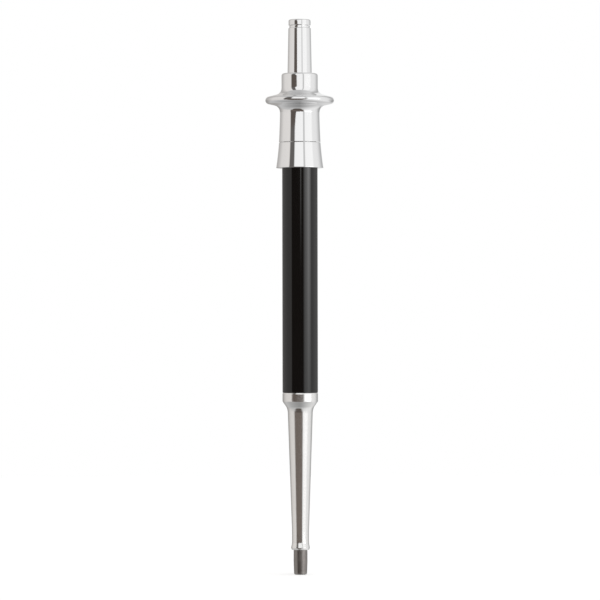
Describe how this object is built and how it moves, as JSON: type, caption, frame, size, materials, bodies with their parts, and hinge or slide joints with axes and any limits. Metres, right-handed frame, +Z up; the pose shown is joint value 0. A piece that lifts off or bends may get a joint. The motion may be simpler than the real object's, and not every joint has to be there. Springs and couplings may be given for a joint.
{
  "type": "fixed volume hand pipettor",
  "caption": "Slim hand pipettor: thumb plunger, round finger flange, black barrel, tapered nose sleeve and tip cone; sprung dispense, blow-out and tip ejection strokes.",
  "frame": {"origin": "centre of the tip cone's open end, the lowest point of the pipettor held upright", "axes": "+Z up along the common axis of every turned piece, from the tip cone to the thumb cap; X and Y are free, because the outside is a body of revolution"},
  "size_m": [0.0308, 0.0308, 0.2485],
  "materials": {
    "polished_chrome": "mirror polished",
    "satin_aluminium": "fine turned satin",
    "black_barrel": "black, semi-gloss",
    "tip_steel": "dark, fine turned",
    "stainless": "turned",
    "spring_steel": "drawn wire",
    "brass": "turned",
    "acetal": "white, low friction",
    "seal_rubber": "black, matte"
  },
  "bodies": {
    "handle": {"tip_cone": "tip_steel", "tip_cone_gasket": "seal_rubber", "cylinder_tube": "stainless", "piston_seal": "acetal", "seal_o_ring": "seal_rubber", "seal_gland": "brass", "shaft_tube": "stainless", "barrel": "black_barrel", "bulkhead": "brass", "head_core": "stainless", "head_skirt": "polished_chrome", "finger_flange": "polished_chrome", "plunger_bush": "acetal", "ejector_spring": "spring_steel"},
    "ejector": {"nose_sleeve": "satin_aluminium", "nose_bush": "acetal", "ejector_rod_1": "stainless", "ejector_rod_2": "stainless", "ejector_rod_3": "stainless", "rod_nut_1": "brass", "rod_nut_2": "brass", "rod_nut_3": "brass", "ejector_yoke": "stainless", "blowout_cage": "stainless", "cage_cap": "stainless", "blowout_spring": "spring_steel"},
    "stop_stage": {"first_stop_ring": "brass", "stop_buffer": "seal_rubber", "return_spring": "spring_steel"},
    "plunger": {"piston": "stainless", "plunger_rod": "stainless", "stop_collar": "brass", "stop_lock_nut": "stainless", "spring_cap": "brass", "rod_circlip": "spring_steel", "plunger_sleeve": "polished_chrome", "thumb_cap": "polished_chrome"}
  },
  "joints": [
    {"name": "tip_eject", "type": "slide", "parent": "handle", "child": "ejector", "axis": [0, 0, -1], "range_m": [0, 0.005], "stiffness_N_per_m": 1500, "springref_m": -0.012, "deforming": ["ejector_spring"]},
    {"name": "blowout_travel", "type": "slide", "parent": "ejector", "child": "stop_stage", "axis": [0, 0, -1], "range_m": [0, 0.004], "stiffness_N_per_m": 1500, "springref_m": -0.006, "deforming": ["blowout_spring"]},
    {"name": "plunger_stroke", "type": "slide", "parent": "stop_stage", "child": "plunger", "axis": [0, 0, -1], "range_m": [0, 0.013], "stiffness_N_per_m": 400, "springref_m": -0.008, "deforming": ["return_spring"]}
  ]
}
